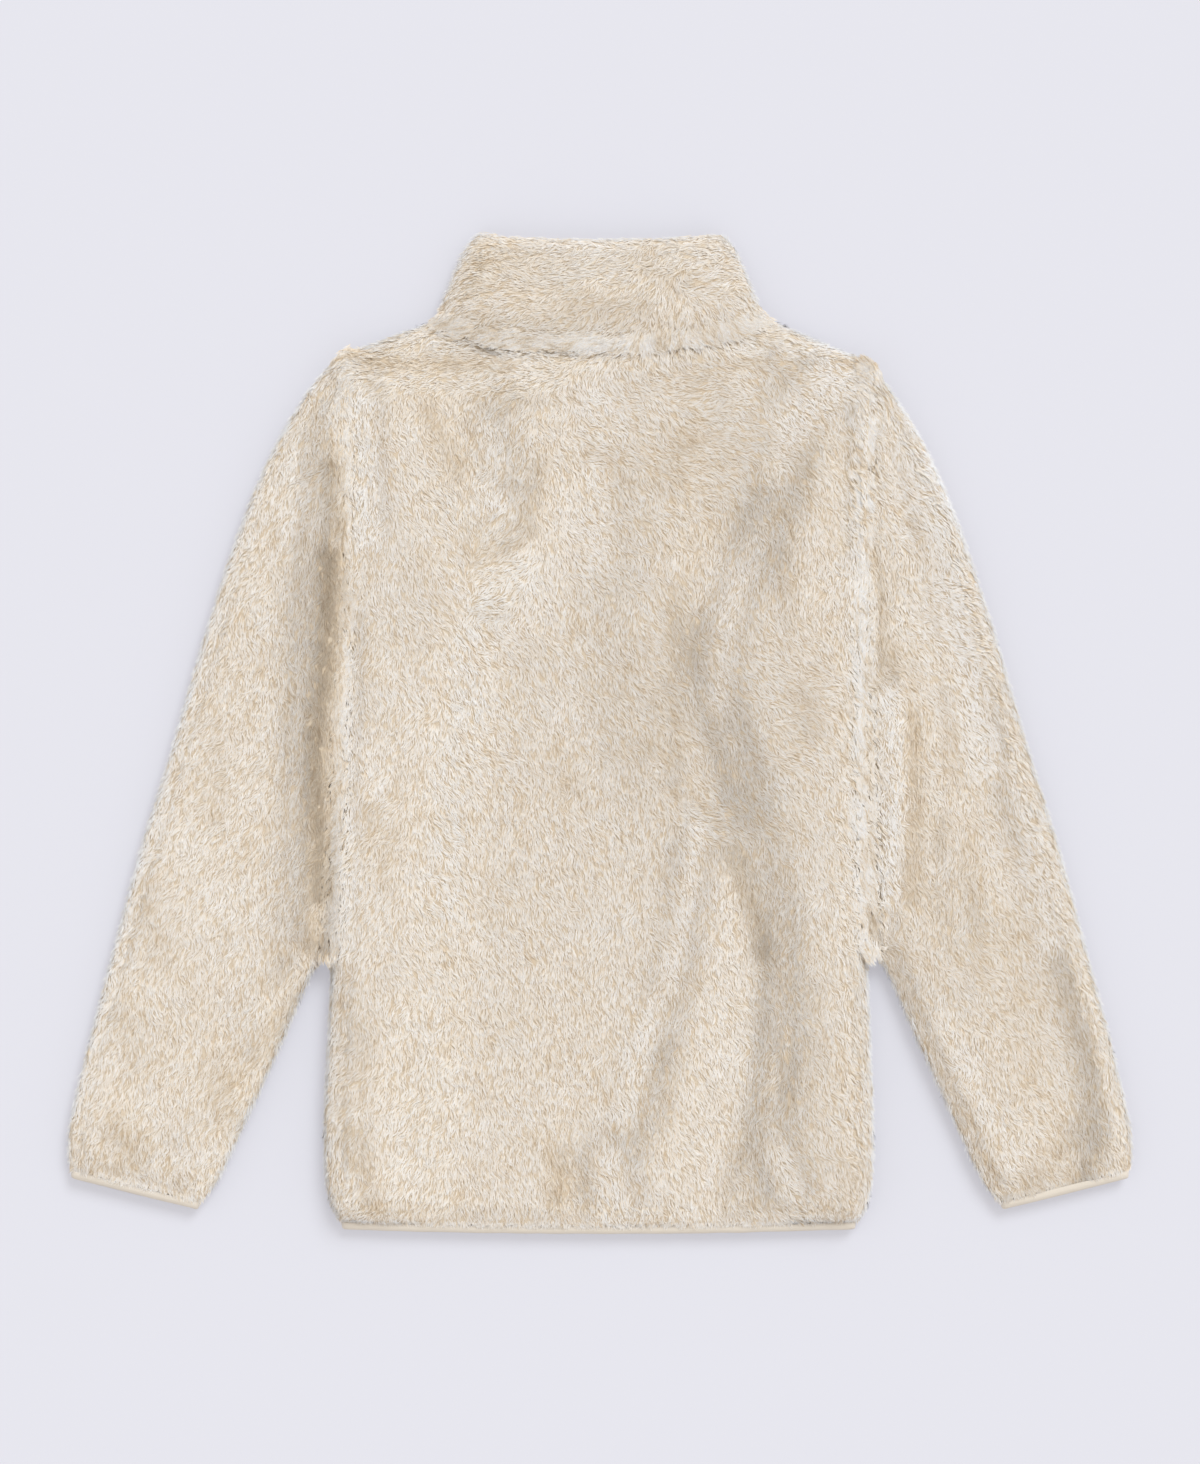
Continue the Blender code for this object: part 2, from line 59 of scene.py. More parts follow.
# Which way the pile is combed: place on the garment, and the angle from straight down towards
# the hem, in degrees, positive to the right.
COMB = (
    (-0.175, 0.190, -20), (-0.155, 0.180, 0), (-0.150, 0.110, 0), (-0.112, 0.185, 15),
    (-0.112, 0.168, 30), (-0.090, 0.180, 0), (-0.068, 0.175, 0), (-0.090, 0.110, 28),
    (-0.070, 0.100, -60), (-0.072, 0.078, -88), (-0.088, 0.080, 50), (-0.068, 0.055, 48),
    (-0.025, 0.190, 20), (-0.022, 0.140, 5), (-0.022, 0.080, 15), (0.000, 0.190, 45),
    (0.000, 0.120, 40), (0.022, 0.190, 38), (0.045, 0.175, 50), (0.068, 0.165, 62),
    (0.070, 0.205, 80), (0.090, 0.190, 70), (0.110, 0.205, 35), (0.115, 0.160, 30),
    (0.068, 0.110, 0), (0.090, 0.090, 0), (0.112, 0.100, 5), (0.135, 0.090, -15),
    (0.045, 0.034, 45), (0.068, 0.034, 30), (0.112, 0.034, 50), (0.135, 0.032, 52),
    (0.135, -0.008, 38), (0.158, 0.060, 2), (0.160, 0.000, 20), (-0.158, 0.030, -10),
    (-0.135, 0.030, 0), (-0.112, 0.000, 0), (-0.112, -0.080, 0), (-0.135, -0.070, -25),
    (-0.090, 0.030, 10), (-0.068, -0.020, 26), (-0.090, -0.085, 28), (-0.112, -0.148, 26),
    (-0.135, -0.180, 0), (-0.135, -0.280, 0), (-0.158, -0.140, -12), (-0.160, -0.215, -22),
    (-0.160, -0.290, -15), (-0.045, -0.080, 12), (-0.045, -0.230, 5), (-0.022, -0.020, 4),
    (-0.022, -0.200, 3), (0.000, -0.080, 14), (0.000, -0.230, 6), (0.022, -0.012, 30),
    (0.022, -0.120, 14), (0.045, -0.060, 22), (0.045, -0.200, 0), (0.068, -0.057, 58),
    (0.068, -0.110, 12), (0.070, -0.200, 18), (0.070, -0.270, 20), (0.090, -0.090, 0),
    (0.092, -0.180, 22), (0.094, -0.240, 20), (0.113, -0.100, 0), (0.113, -0.220, 0),
    (0.135, -0.060, 28), (0.135, -0.180, 8), (0.155, -0.070, 24), (0.157, -0.190, 34),
    (0.157, -0.260, 36), (-0.200, 0.146, -24), (-0.225, 0.100, -20), (-0.225, 0.020, -5),
    (-0.200, 0.060, 8), (-0.180, 0.020, 5), (-0.247, 0.010, -22), (-0.270, -0.060, -28),
    (-0.247, -0.060, -15), (-0.200, -0.060, -14), (-0.225, -0.150, 0), (-0.292, -0.147, -20),
    (-0.270, -0.190, 0), (-0.247, -0.190, -2), (-0.316, -0.215, -25), (-0.247, -0.250, -12),
    (-0.225, -0.213, -30), (0.181, 0.190, 30), (0.203, 0.140, 45), (0.181, 0.090, 4),
    (0.225, 0.078, 62), (0.203, 0.034, 45), (0.247, 0.010, 38), (0.181, 0.000, 5),
    (0.270, -0.060, 40), (0.203, -0.055, 15), (0.225, -0.100, 14), (0.294, -0.122, 26),
    (0.250, -0.165, 35), (0.225, -0.200, 5), (0.294, -0.216, 28), (0.319, -0.216, 24),
    (0.272, -0.280, 25), (-0.135, 0.235, -85), (-0.090, 0.236, -85), (-0.045, 0.236, -80),
    (0.110, 0.236, 70), (0.150, 0.232, 50), (-0.070, 0.281, -72), (-0.045, 0.281, -76),
    (-0.020, 0.281, -62), (0.025, 0.281, -40), (0.070, 0.281, 95), (-0.090, 0.258, -68),
    (-0.045, 0.258, -70), (0.000, 0.258, -60), (0.045, 0.258, -10), (0.068, 0.258, 28),
    (0.000, 0.300, -75), (0.060, 0.300, -80), (-0.060, 0.300, -80),
)

# Strokes of painted light (above 0) and painted shade (below 0) on the pile: there its shading is
# turned towards or away from the light, and its colour is made lighter or darker. Both ends, width
# and amount.
LIGHT_AND_SHADE_STROKES = (
    (-0.166, 0.110, -0.167, 0.060, 0.0085, -1.60), (-0.168, 0.060, -0.173, 0.000, 0.0078, -1.60),
    (-0.174, 0.000, -0.176, -0.105, 0.0078, -1.70),
    (-0.177, -0.110, -0.178, -0.132, 0.008, -1.10), (-0.156, 0.060, -0.158, -0.140, 0.005, 0.60),
    (-0.147, 0.205, -0.145, 0.120, 0.007, 1.00), (-0.145, 0.229, -0.080, 0.231, 0.007, -0.80),
    (-0.098, 0.241, -0.010, 0.238, 0.006, 0.50), (-0.145, 0.214, -0.100, 0.206, 0.01, -0.50),
    (-0.010, 0.241, 0.100, 0.241, 0.005, 0.60), (0.145, 0.222, 0.120, 0.190, 0.012, 1.10),
    (0.085, 0.231, 0.100, 0.231, 0.005, -0.30), (0.118, 0.243, 0.150, 0.236, 0.006, 0.60),
    (-0.085, 0.210, -0.040, 0.208, 0.01, -0.30), (-0.036, 0.168, -0.044, 0.125, 0.008, -0.50),
    (0.116, 0.185, 0.110, 0.165, 0.01, 0.50), (0.128, 0.020, 0.130, 0.000, 0.01, -0.30),
    (0.050, 0.050, 0.030, -0.010, 0.01, -0.25), (0.085, -0.078, 0.100, -0.135, 0.008, -0.80),
    (0.050, 0.180, 0.045, 0.160, 0.01, -0.30), (0.062, -0.060, 0.042, -0.160, 0.007, 0.50),
    (0.035, -0.170, 0.015, -0.240, 0.008, 0.50), (0.112, -0.262, 0.120, -0.285, 0.008, 0.50),
    (0.120, -0.200, 0.118, -0.225, 0.007, -0.20), (0.135, -0.290, 0.150, -0.285, 0.01, 0.20),
    (0.084, -0.265, 0.082, -0.285, 0.009, -0.30), (0.003, -0.265, 0.010, -0.298, 0.009, 0.80),
    (0.030, -0.300, 0.070, -0.300, 0.006, 0.40), (-0.025, -0.265, -0.026, -0.288, 0.009, -0.75),
    (0.135, -0.160, 0.132, -0.230, 0.01, -0.20), (0.040, -0.200, 0.045, -0.240, 0.01, -0.20),
    (0.197, 0.055, 0.192, 0.020, 0.006, -0.40), (0.194, 0.010, 0.194, -0.100, 0.008, -1.10),
    (0.206, -0.100, 0.216, -0.118, 0.009, -0.50), (0.203, 0.060, 0.203, 0.045, 0.006, 0.40),
    (0.230, -0.060, 0.240, -0.150, 0.01, -0.30), (0.255, -0.120, 0.270, -0.220, 0.014, -0.30),
    (0.272, -0.275, 0.295, -0.250, 0.01, -0.40), (0.182, 0.020, 0.184, -0.030, 0.007, 1.50),
    (0.184, -0.030, 0.180, -0.100, 0.007, 1.70), (0.168, 0.130, 0.178, 0.045, 0.006, -0.80),
    (0.166, 0.000, 0.167, -0.080, 0.004, -0.60), (0.164, 0.190, 0.164, 0.050, 0.007, 1.00),
    (0.185, -0.150, 0.240, -0.280, 0.005, -0.20), (0.198, 0.205, 0.222, 0.085, 0.011, 1.30),
    (0.222, 0.085, 0.240, -0.020, 0.010, 1.20), (0.258, -0.020, 0.270, -0.070, 0.007, 0.60),
    (0.215, -0.180, 0.255, -0.270, 0.006, 0.40), (-0.075, 0.278, -0.030, 0.272, 0.012, -0.35),
    (0.020, 0.290, 0.045, 0.280, 0.01, -0.30), (-0.030, 0.304, -0.005, 0.304, 0.005, 0.60),
    (-0.078, 0.108, -0.050, 0.119, 0.007, -0.50), (-0.106, 0.200, -0.088, 0.160, 0.009, -0.80),
    (-0.070, 0.185, -0.064, 0.165, 0.008, 0.30), (-0.004, 0.208, 0.004, 0.190, 0.014, 0.50),
    (-0.005, 0.160, 0.000, 0.110, 0.01, 0.50), (-0.082, 0.076, -0.045, 0.095, 0.008, 0.80),
    (-0.082, 0.060, -0.080, 0.010, 0.009, 1.00), (-0.092, -0.010, -0.095, -0.110, 0.01, 0.70),
    (-0.130, 0.040, -0.120, 0.020, 0.01, 0.30), (-0.238, -0.205, -0.232, -0.240, 0.012, -0.50),
    (-0.145, -0.015, -0.140, -0.035, 0.009, 0.40), (-0.130, -0.060, -0.135, -0.090, 0.009, -0.30),
    (-0.303, -0.250, -0.295, -0.262, 0.012, -0.50),
    (-0.285, -0.100, -0.275, -0.140, 0.014, -0.30), (-0.205, 0.130, -0.195, 0.115, 0.009, -0.30),
    (-0.185, -0.160, -0.215, -0.200, 0.009, -0.50),
    (-0.150, -0.250, -0.145, -0.290, 0.009, -0.40), (-0.183, 0.215, -0.245, 0.070, 0.008, 0.70),
    (-0.245, 0.070, -0.300, -0.120, 0.008, 0.80), (-0.300, -0.120, -0.326, -0.240, 0.007, 0.60),
    (-0.167, -0.150, -0.170, -0.290, 0.005, 0.70), (0.166, -0.145, 0.169, -0.290, 0.005, 0.30),
    (0.218, 0.025, 0.222, -0.030, 0.009, -0.40), (0.045, 0.030, 0.048, -0.035, 0.01, -0.35),
    (-0.020, 0.268, 0.025, 0.266, 0.01, -0.50), (-0.075, 0.294, -0.045, 0.293, 0.008, -0.40),
    (0.145, 0.140, 0.145, 0.115, 0.008, -0.25), (0.066, 0.290, 0.072, 0.282, 0.008, 0.25),
    (-0.250, -0.170, -0.250, -0.185, 0.012, -0.25),
    (-0.295, -0.180, -0.290, -0.210, 0.014, -0.25),
    (-0.197, -0.145, -0.200, -0.155, 0.008, -0.50), (0.062, 0.120, 0.080, 0.130, 0.012, -0.25),
    (0.161, 0.050, 0.163, -0.100, 0.006, 0.90), (0.166, -0.130, 0.167, -0.160, 0.006, 0.90),
    (0.183, 0.055, 0.184, 0.035, 0.006, -0.60), (0.188, 0.190, 0.200, 0.140, 0.008, 0.50),
    (-0.160, -0.280, -0.150, -0.300, 0.007, 0.40), (0.125, -0.303, 0.145, -0.303, 0.005, 0.50),
    (0.156, -0.270, 0.156, -0.285, 0.007, -0.40), (-0.148, -0.185, -0.148, -0.230, 0.009, -0.35),
    (-0.078, 0.155, -0.062, 0.140, 0.009, 0.40), (-0.240, 0.000, -0.240, -0.050, 0.012, -0.25),
    (-0.165, 0.165, -0.164, 0.125, 0.007, -0.80), (-0.085, 0.195, -0.080, 0.180, 0.007, -0.30),
    (0.050, 0.090, 0.048, 0.060, 0.01, -0.40), (0.085, 0.100, 0.074, 0.020, 0.009, 0.30),
    (0.214, -0.055, 0.212, -0.070, 0.008, -0.50), (0.170, -0.115, 0.172, -0.130, 0.005, -0.80),
    (0.212, -0.125, 0.218, -0.130, 0.008, -0.35), (-0.192, 0.190, -0.197, 0.110, 0.006, 0.50),
    (0.268, -0.288, 0.300, -0.280, 0.007, -0.40), (-0.168, -0.265, -0.166, -0.295, 0.006, 0.90),
    (-0.025, -0.020, -0.020, -0.035, 0.014, -0.20),
    (-0.142, -0.050, -0.140, -0.058, 0.008, -0.35), (0.001, -0.260, 0.002, -0.268, 0.007, -0.30),
    (0.115, 0.110, 0.117, 0.070, 0.009, -0.35), (0.272, -0.080, 0.282, -0.130, 0.008, 0.50),
)

# Where the key light comes from, and the way in plan that pile faces where it is brightest.
KEY = (0.52, 0.92, 1.10)
BRIGHT = (0.84, 0.54)

# Places where the pile is parted in several short lines: x, y, reach, number.
SPOTS = ((-0.225, -0.215, 0.006, 16), (-0.297, -0.254, 0.006, 12))

# Flat width and length, flat area, and what it lies on, of each fleece piece.
FLAT = {
    "back": ((0.345, 0.566), 0.186, ["front"]),
    "front": ((0.345, 0.566), 0.186, []),
    "sleeve_left": ((0.320, 0.480), 0.119, []),
    "sleeve_right": ((0.320, 0.480), 0.115, []),
    "collar": ((0.400, 0.068), 0.0250, []),
}

# Flat width and length of each binding, as far as it shows.
STRIPS = {
    "hem_binding": (0.640, 0.010),
    "cuff_binding_left": (0.166, 0.010),
    "cuff_binding_right": (0.166, 0.010),
}

# How many bands from hem to neck the pile of each piece is kept in.
BANDS = {"back": 4, "front": 1, "sleeve_left": 1, "sleeve_right": 1, "collar": 1}


# ---------------------------------------------------------------- materials


class Shade:
    """A number, colour or vector in a material. Sums on it add the nodes that work them out."""

    def __init__(self, paint, socket):
        self.paint = paint
        self.socket = socket

    def maths(self, operation, first, second):
        return self.paint.node("ShaderNodeMath", {"operation": operation}, {0: first, 1: second})

    def __add__(self, other):
        return self.maths("ADD", self, other)

    def __radd__(self, other):
        return self.maths("ADD", other, self)

    def __sub__(self, other):
        return self.maths("SUBTRACT", self, other)

    def __rsub__(self, other):
        return self.maths("SUBTRACT", other, self)

    def __mul__(self, other):
        return self.maths("MULTIPLY", self, other)

    def __rmul__(self, other):
        return self.maths("MULTIPLY", other, self)

    def output(self, key):
        """Another output of the same node."""
        return Shade(self.paint, self.socket.node.outputs[key])


class Paint:
    """A material under construction. Constants are named as the shader's sockets are."""

    def __init__(self, name, **constants):
        self.material = bpy.data.materials.new(name)
        self.material.use_nodes = True
        self.tree = self.material.node_tree
        self.shader = self.tree.nodes["Principled BSDF"]
        for socket, value in constants.items():
            self.shader.inputs[socket.replace("_", " ")].default_value = value

    def node(self, kind, settings=None, inputs=None, output=0):
        """Adds a node, sets it, fills its sockets with values or links and returns an output."""
        made = self.tree.nodes.new(kind)
        for key, value in (settings or {}).items():
            if key == "stops":
                elements = made.color_ramp.elements
                while len(elements) < len(value):
                    elements.new(1.0)
                for element, (position, colour) in zip(elements, value):
                    element.position = position
                    element.color = (*colour, 1.0)
            else:
                setattr(made, key, value)
        for key, value in (inputs or {}).items():
            if isinstance(value, Shade):
                self.tree.links.new(value.socket, made.inputs[key])
            else:
                made.inputs[key].default_value = value
        return Shade(self, made.outputs[output])

    def mix(self, factor, first, second, blend="MIX"):
        """Mixes two colours."""
        inputs = {0: factor, 6: first, 7: second}
        for key in (6, 7):
            if not isinstance(inputs[key], Shade):
                inputs[key] = (*inputs[key], 1.0)
        return self.node("ShaderNodeMix", {"data_type": "RGBA", "blend_type": blend}, inputs, 2)

    def coordinate(self, kind):
        """Texture coordinates of one kind."""
        return self.node("ShaderNodeTexCoord", output=kind)

    def noise(self, vector, scale, detail=2.0, roughness=0.5):
        """Uneven pattern with this many features in a metre."""
        values = {"Vector": vector, "Scale": scale, "Detail": detail, "Roughness": roughness}
        return self.node("ShaderNodeTexNoise", inputs=values)

    def ramp(self, factor, *stops):
        """Colour that changes with the factor."""
        return self.node("ShaderNodeValToRGB", {"stops": stops}, {0: factor})

    def finish(self, colour=None, bump=None, distance=0.001, strength=1.0):
        """Joins the colour and the relief to the shader and returns the material."""
        if colour is not None:
            self.tree.links.new(colour.socket, self.shader.inputs["Base Color"])
        if bump is not None:
            values = {"Height": bump, "Distance": distance, "Strength": strength}
            normal = self.node("ShaderNodeBump", inputs=values)
            self.tree.links.new(normal.socket, self.shader.inputs["Normal"])
        return self.material


def pile_material(settings):
    """Cream pile, pale at its tip, with a tone for each lock. Its darker, warmer root colour is
    painted shade deep in the pile, and its tone carries painted shade and painted light besides
    random tone.
    """
    paint = Paint(
        "sherpa_pile",
        Roughness=0.88,
        Sheen_Weight=0.35,
        Sheen_Roughness=0.5,
        Specular_IOR_Level=0.25,
    )
    place = paint.node("ShaderNodeUVMap", {"uv_map": "OFBake"})
    tone = paint.node("ShaderNodeSeparateXYZ", inputs={0: place})
    height = tone.output(1)
    root, tip = tuple(settings.root_painted_shade), tuple(settings.tip_colour)
    middle = tuple(0.35 * r + 0.65 * t for r, t in zip(root, tip))
    along = paint.ramp(height, (0.0, root), (0.55, middle), (0.9, tip))
    shaded = paint.ramp(
        tone,
        (0.0, tuple(settings.parting_painted_shade)),
        (0.32, tuple(settings.shade_tint)),
        (1.0, (1.0, 1.0, 1.0)),
    )
    return paint.finish(paint.mix(1.0, along, shaded, "MULTIPLY"))


def cloth_material(settings):
    """Knit that carries the pile, seen only between its locks and on the underside. Its colour is
    darker and warmer than the pile's, as painted shade of the gaps between locks, in uneven
    patches.
    """
    paint = Paint("fleece_knit", Roughness=0.95)
    place = paint.coordinate("Object")
    patches = paint.noise(place, 55.0, 3.0)
    nap = paint.noise(place, 900.0, 4.0, 0.7)
    colour = paint.mix(patches, tuple(settings.parting_painted_shade), tuple(settings.cloth_colour))
    return paint.finish(colour, nap * 0.7 + patches * 0.3, 0.0012, 0.8)


def binding_material(settings):
    """Smooth knit binding with fine loops and a soft uneven tone."""
    paint = Paint("binding_knit", Roughness=0.8, Sheen_Weight=0.2)
    place = paint.coordinate("Object")
    loops = paint.node(
        "ShaderNodeTexVoronoi",
        {"feature": "F1", "distance": "CHEBYCHEV"},
        {"Vector": place, "Scale": 1150.0, "Randomness": 0.35},
    )
    patches = paint.noise(place, 120.0, 3.0)
    colour = paint.mix(patches, tuple(settings.binding_shade), tuple(settings.binding_colour))
    return paint.finish(colour, patches * 0.6 - loops * 0.5, 0.0006, 0.6)


def floor_material(settings):
    """Plain pale floor that glows a little, so that it stays even."""
    return Paint(
        "studio_floor",
        Roughness=0.9,
        Base_Color=(0.42, 0.42, 0.45, 1.0),
        Specular_IOR_Level=0.1,
        Emission_Color=(*settings.floor_colour, 1.0),
        Emission_Strength=settings.floor_glow,
    ).finish()


def made(name, maker, settings):
    """The material of that name, made once."""
    return bpy.data.materials.get(name) or maker(settings)


# ---------------------------------------------------------------- meshes


def solid_copy(node):
    """The merged mesh of a solid, as a bmesh of quads."""
    mesh = bmesh.new()
    mesh.from_mesh(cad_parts[node].data)
    bmesh.ops.remove_doubles(mesh, verts=mesh.verts, dist=0.00002)
    bmesh.ops.join_triangles(
        mesh, faces=mesh.faces, angle_face_threshold=0.7, angle_shape_threshold=0.7
    )
    mesh.normal_update()
    return mesh


def keep_faces(mesh, keep):
    """Leaves only the faces that pass the test."""
    bmesh.ops.delete(mesh, geom=[face for face in mesh.faces if not keep(face)], context="FACES")


def faces_out(face):
    """Whether a face of a fleece solid is on its outside, and not in the tube or on a seam."""
    height = face.calc_center_median().z - MIDDLE
    away = face.normal.z * height > 0.0003 * abs(face.normal.z)
    return away and abs(face.normal.z) > 0.04


def refine(mesh, rounds):
    """Rounds a coarse surface off without moving its open edges."""
    for _ in range(rounds):
        bmesh.ops.subdivide_edges(mesh, edges=mesh.edges, cuts=1, use_grid_fill=True)
        inner = [vert for vert in mesh.verts if not vert.is_boundary]
        for _ in range(2):
            bmesh.ops.smooth_vert(
                mesh, verts=inner, factor=0.5, use_axis_x=True, use_axis_y=True, use_axis_z=True
            )
    mesh.normal_update()


def outside(node, rounds=2):
    """The outer surface of a fleece solid, made finer and smooth."""
    mesh = solid_copy(node)
    keep_faces(mesh, faces_out)
    widen(mesh, SEAM_OVERLAP)
    refine(mesh, rounds)
    return mesh


def widen(mesh, reach):
    """Moves the open edges of a surface outwards, so that seams close under the pile."""
    moves = []
    for vert in mesh.verts:
        inside = [edge.other_vert(vert).co for edge in vert.link_edges if not edge.is_boundary]
        if vert.is_boundary and inside:
            away = vert.co - sum(inside, Vector()) / len(inside)
            if away.length > 0:
                moves.append((vert, away.normalized() * reach))
    for vert, move in moves:
        vert.co += move


def add_piece(name, mesh, material, smooth=True):
    """Turns a bmesh into a piece that rides on the garment."""
    data = bpy.data.meshes.new(name)
    mesh.to_mesh(data)
    mesh.free()
    return add_data(name, data, material, smooth)


def add_data(name, data, material, smooth=True):
    """Makes a piece of finished mesh data."""
    if smooth:
        data.shade_smooth()
    data.materials.append(material)
    obj = bpy.data.objects.new(name, data)
    bpy.context.scene.collection.objects.link(obj)
    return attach(obj, "root")


# ---------------------------------------------------------------- pile


def clamp(values):
    return np.clip(values, 0.0, 1.0)


def column(values):
    return values[:, None]


def unit(vectors):
    return vectors / np.maximum(np.linalg.norm(vectors, axis=1, keepdims=True), 1e-9)


def heading(angle):
    """The vector in plan for angles from straight down towards the hem."""
    return np.stack([np.sin(angle), -np.cos(angle), np.zeros(len(angle))], axis=1)


def waves(points, size, seed):
    """Smooth uneven pattern from about -1 to 1, with features of this size."""
    rng = np.random.default_rng(seed)
    total = np.zeros(len(points))
    for _ in range(14):
        direction = rng.normal(size=3)
        direction *= rng.uniform(0.6, 1.6) * math.pi / (size * np.linalg.norm(direction))
        total += np.sin(points @ direction + rng.uniform(0, 2 * math.pi))
    return total / math.sqrt(7.0)


def combed(points):
    """Angle the pile is combed at, in plan, at each point."""
    table = np.array(COMB)
    angles = np.radians(table[:, 2])
    away = ((points[:, None, :2] - table[None, :, :2]) ** 2).sum(2)
    weight = 1.0 / (away + 0.008 ** 2) ** 2
    x = (weight * np.sin(angles)).sum(1)
    y = -(weight * np.cos(angles)).sum(1)
    return np.arctan2(x, -y)


def stroke_light_and_shade(points):
    """How strongly the strokes light (above 0) or shade (below 0) the pile at each point, from the
    strongest strokes.
    """
    up, down = np.zeros(len(points)), np.zeros(len(points))
    for x, y, end_x, end_y, width, amount in LIGHT_AND_SHADE_STROKES:
        run = np.array([end_x - x, end_y - y])
        away = points[:, :2] - np.array([x, y])
        share = clamp(away @ run / (run @ run))
        touch = amount * np.exp(-((away - column(share) * run) ** 2).sum(1) / width ** 2)
        up, down = np.maximum(up, touch), np.minimum(down, touch)
    return (up + down) * (points[:, 2] > MIDDLE)


def scatter(mesh, spacing, rng):
    """Evenly spread points on a surface, no two closer than the spacing, with normals."""
    bmesh.ops.triangulate(mesh, faces=mesh.faces)
    mesh.normal_update()
    corners = np.array([[v.co for v in face.verts] for face in mesh.faces])
    normals = np.array([[v.normal for v in face.verts] for face in mesh.faces])
    sides = np.cross(corners[:, 1] - corners[:, 0], corners[:, 2] - corners[:, 0])
    total = np.cumsum(np.linalg.norm(sides, axis=1) / 2)
    count = int(5.0 * total[-1] / spacing ** 2)
    face = np.minimum(np.searchsorted(total, rng.uniform(0, total[-1], count)), len(total) - 1)
    a, b = rng.uniform(0, 1, (2, count))
    flip = a + b > 1
    a[flip], b[flip] = 1 - a[flip], 1 - b[flip]
    share = np.stack([1 - a - b, a, b], axis=1)[:, :, None]
    points, normals = (corners[face] * share).sum(1), unit((normals[face] * share).sum(1))
    cells, chosen, near = {}, [], spacing ** 2
    keys = np.floor(points / spacing).astype(int).tolist()
    places = points.tolist()
    around = [(i, j, k) for i in (-1, 0, 1) for j in (-1, 0, 1) for k in (-1, 0, 1)]
    for index, (key, (x, y, z)) in enumerate(zip(keys, places)):
        taken = False
        for i, j, k in around:
            for u, v, w in cells.get((key[0] + i, key[1] + j, key[2] + k), ()):
                if (u - x) ** 2 + (v - y) ** 2 + (w - z) ** 2 < near:
                    taken = True
                    break
            if taken:
                break
        if not taken:
            cells.setdefault(tuple(key), []).append((x, y, z))
            chosen.append(index)
    return points[chosen], normals[chosen]


class Field:
    """Values given at scattered places in plan, blurred, and read back anywhere."""

    def __init__(self, points, values, passes, cell=0.0015):
        self.cell = cell
        self.corner = points[:, :2].min(0) - (passes + 3) * cell
        size = ((points[:, :2].max(0) - self.corner) / cell).astype(int) + passes + 5
        where = tuple(((points[:, :2] - self.corner) / cell).astype(int).T)
        total, count = np.zeros(size), np.zeros(size)
        np.add.at(total, where, values)
        np.add.at(count, where, 1.0)
        for grid in (total, count):
            for _ in range(passes):
                for axis in (0, 1):
                    grid += np.roll(grid, 1, axis) + np.roll(grid, -1, axis)
        self.grid = total / np.maximum(count, 1e-9)
        self.density = count / 9.0 ** passes

    def at(self, points, grid=None):
        grid = self.grid if grid is None else grid
        spot = (points[:, :2] - self.corner) / self.cell - 0.5
        spot = np.clip(spot, 0.0, np.array(self.grid.shape) - 1.001)
        base = spot.astype(int)
        part = spot - base
        value = 0.0
        for i in (0, 1):
            for j in (0, 1):
                share = np.abs(1 - i - part[:, 0]) * np.abs(1 - j - part[:, 1])
                value = value + share * grid[base[:, 0] + i, base[:, 1] + j]
        return value


def laid_over(points, normals, owner, rng):
    """Lets the pile run on over seams and creases: all points, their evened normals, owners."""
    soft, shift = 0.0010, 20.0
    upper = (normals[:, 2] > 0.05) & (points[:, 2] > MIDDLE - 0.002)
    here = points[upper]
    heaped = Field(here, np.exp(here[:, 2] / soft - shift), 18)
    shares = [Field(here, owner[upper] == number, 10) for number in np.unique(owner)]

    def top(places):
        """Height of the highest surface near each place, softened."""
        return soft * (np.log(np.maximum(heaped.at(places), 1e-30)) + shift)

    def beside(places):
        """How much of what is near each place belongs to another piece."""
        return 1.0 - np.max([share.at(places) for share in shares], axis=0)

    def full(places):
        """How thickly the surface near each place is covered already."""
        return shares[0].at(places, shares[0].density)

    i, j = np.meshgrid(np.arange(-185, 186), np.arange(-170, 171), indexing="ij")
    more = np.stack([i.ravel(), j.ravel(), np.zeros(i.size)], axis=1) * 0.0018
    more[:, :2] += rng.uniform(-0.0008, 0.0008, (len(more), 2))
    near = Field(here, here[:, 2], 2)
    thin = near.at(more, near.density) < np.where(more[:, 1] > SHOULDERS, 0.62, 0.28)
    more = more[(beside(more) > 0.15) & thin & (full(more) > 0.2)]
    more_owner = np.argmax([share.at(more) for share in shares], axis=0)
    more[:, 2] = top(more) - 0.0002

    lift = clamp((full(points) - 0.17) / 0.05) * clamp(12.0 * beside(points))
    lift *= np.maximum(0.0, top(points) - points[:, 2]) * upper
    points = points + column(lift) * np.array([[0.0, 0.0, 1.0]])
    points, owner = np.concatenate([points, more]), np.concatenate([owner, more_owner])
    normals = np.concatenate([normals, np.tile((0.0, 0.0, 1.0), (len(more), 1))])
    upper = np.concatenate([upper, np.ones(len(more), bool)])
    lift = np.concatenate([lift, np.full(len(more), 0.001)])

    ground = Field(points[upper], points[upper, 2], 5)
    step, slopes = 0.002, []
    for move in np.array([[step, 0.0, 0.0], [0.0, step, 0.0]]):
        slopes.append((ground.at(points + move) - ground.at(points - move)) / (2 * step))
    evened = np.stack([-slopes[0], -slopes[1], np.ones(len(points))], axis=1)
    level = column(np.maximum(clamp((normals[:, 2] - 0.6) / 0.3), clamp(lift / 0.0008)))
    return points, unit(normals * (1 - level) + unit(evened) * level), owner


